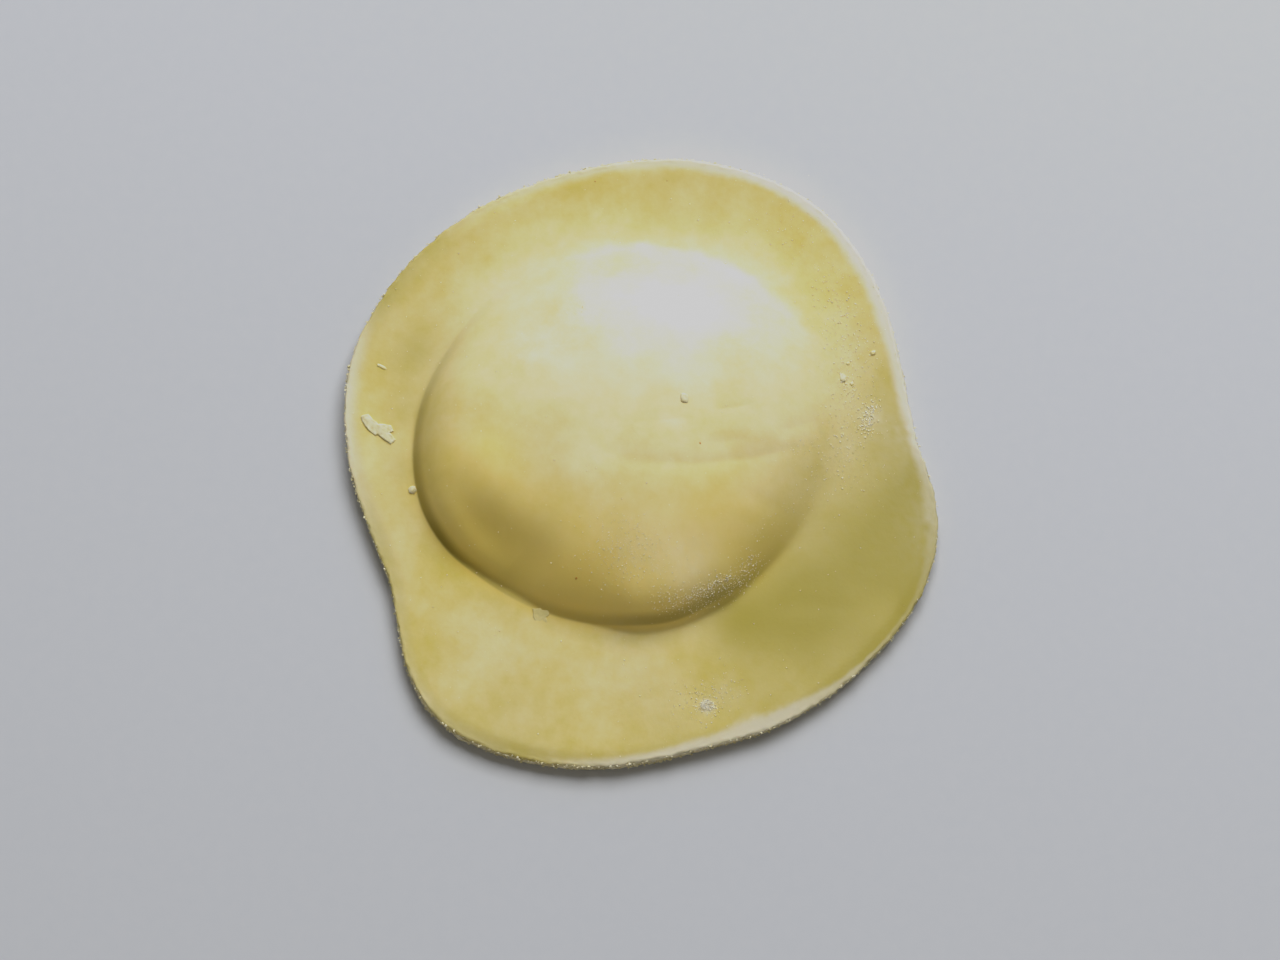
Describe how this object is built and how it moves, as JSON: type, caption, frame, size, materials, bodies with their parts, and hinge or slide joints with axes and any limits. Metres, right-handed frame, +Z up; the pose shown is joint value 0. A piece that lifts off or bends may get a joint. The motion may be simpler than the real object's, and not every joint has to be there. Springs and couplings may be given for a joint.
{
  "type": "ravioli",
  "caption": "Single large round fresh raviolo: thin egg dough sheets pressed into a wide uneven cut rim round a low filled dome, lightly floured.",
  "frame": {"origin": "on the table under the middle of the rim's outline", "axes": "+Z up out of the dome, +Y towards the top edge of the picture, +X to its right"},
  "size_m": [0.0652, 0.0685, 0.0104],
  "materials": {
    "dough": "satin",
    "floured_dough": "matte"
  },
  "bodies": {
    "root": {"upper_sheet": "dough", "lower_sheet": "floured_dough"}
  },
  "joints": []
}
